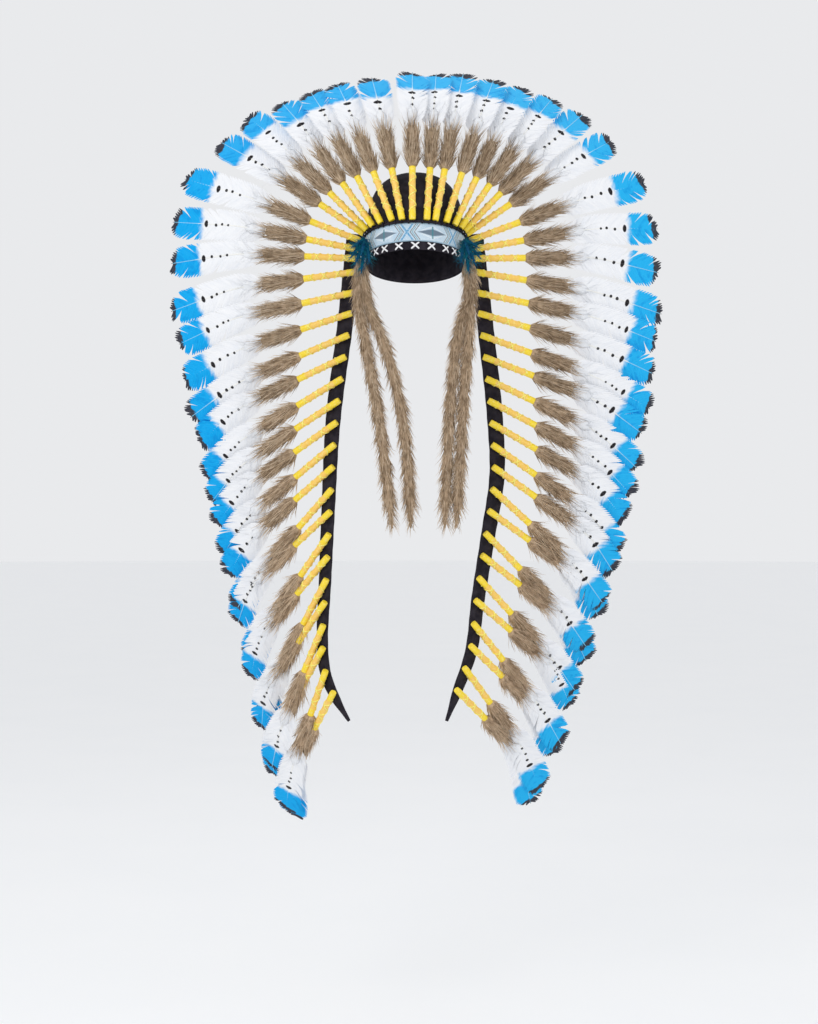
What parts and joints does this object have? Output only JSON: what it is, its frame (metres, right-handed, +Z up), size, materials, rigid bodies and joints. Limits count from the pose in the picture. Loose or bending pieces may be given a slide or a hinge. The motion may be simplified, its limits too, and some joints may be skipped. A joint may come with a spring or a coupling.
{
  "type": "feathered headdress",
  "caption": "Feathered headdress: felt cap, banded brow, tall fan of fur-tufted feathers that runs on down two side trailers.",
  "frame": {"origin": "the middle of the head opening at the lower edge of the headband, where the head holds the headdress", "axes": "+Z up, the wearer faces -Y, +X to the wearer's left, which is the right as seen from the front"},
  "size_m": [0.803, 0.248, 1.2204],
  "materials": {
    "felt": "black wool felt, matt",
    "woven": "light blue and silver brocade",
    "feather": "white feather with blue and black tip, quill wrapped in yellow thread",
    "fur": "taupe fur with darker and lighter hairs",
    "down": "teal down"
  },
  "bodies": {
    "root": {"crown_cap": "felt", "headband": "felt", "woven_band": "woven", "trailer_left": "felt", "fur_drops_left": "fur", "down_tuft_left": "down", "feather_left_01": "feather", "feather_left_02": "feather", "feather_left_03": "feather", "feather_left_04": "feather", "feather_left_05": "feather", "feather_left_06": "feather", "feather_left_07": "feather", "feather_left_08": "feather", "feather_left_09": "feather", "feather_left_10": "feather", "feather_left_11": "feather", "feather_left_12": "feather", "feather_left_13": "feather", "feather_left_14": "feather", "feather_left_15": "feather", "feather_left_16": "feather", "feather_left_17": "feather", "feather_left_18": "feather", "feather_left_19": "feather", "feather_left_20": "feather", "feathers_left_21_22": "feather", "feathers_left_23_24": "feather", "feathers_left_25_26": "feather", "feathers_left_27_28": "feather", "feathers_left_29_30": "feather", "trailer_right": "felt", "fur_drops_right": "fur", "down_tuft_right": "down", "feather_right_01": "feather", "feather_right_02": "feather", "feather_right_03": "feather", "feather_right_04": "feather", "feather_right_05": "feather", "feather_right_06": "feather", "feather_right_07": "feather", "feather_right_08": "feather", "feather_right_09": "feather", "feather_right_10": "feather", "feather_right_11": "feather", "feather_right_12": "feather", "feather_right_13": "feather", "feather_right_14": "feather", "feather_right_15": "feather", "feather_right_16": "feather", "feather_right_17": "feather", "feather_right_18": "feather", "feather_right_19": "feather", "feather_right_20": "feather", "feathers_right_21_22": "feather", "feathers_right_23_24": "feather", "feathers_right_25_26": "feather", "feathers_right_27_28": "feather", "feathers_right_29_30": "feather"}
  },
  "joints": []
}
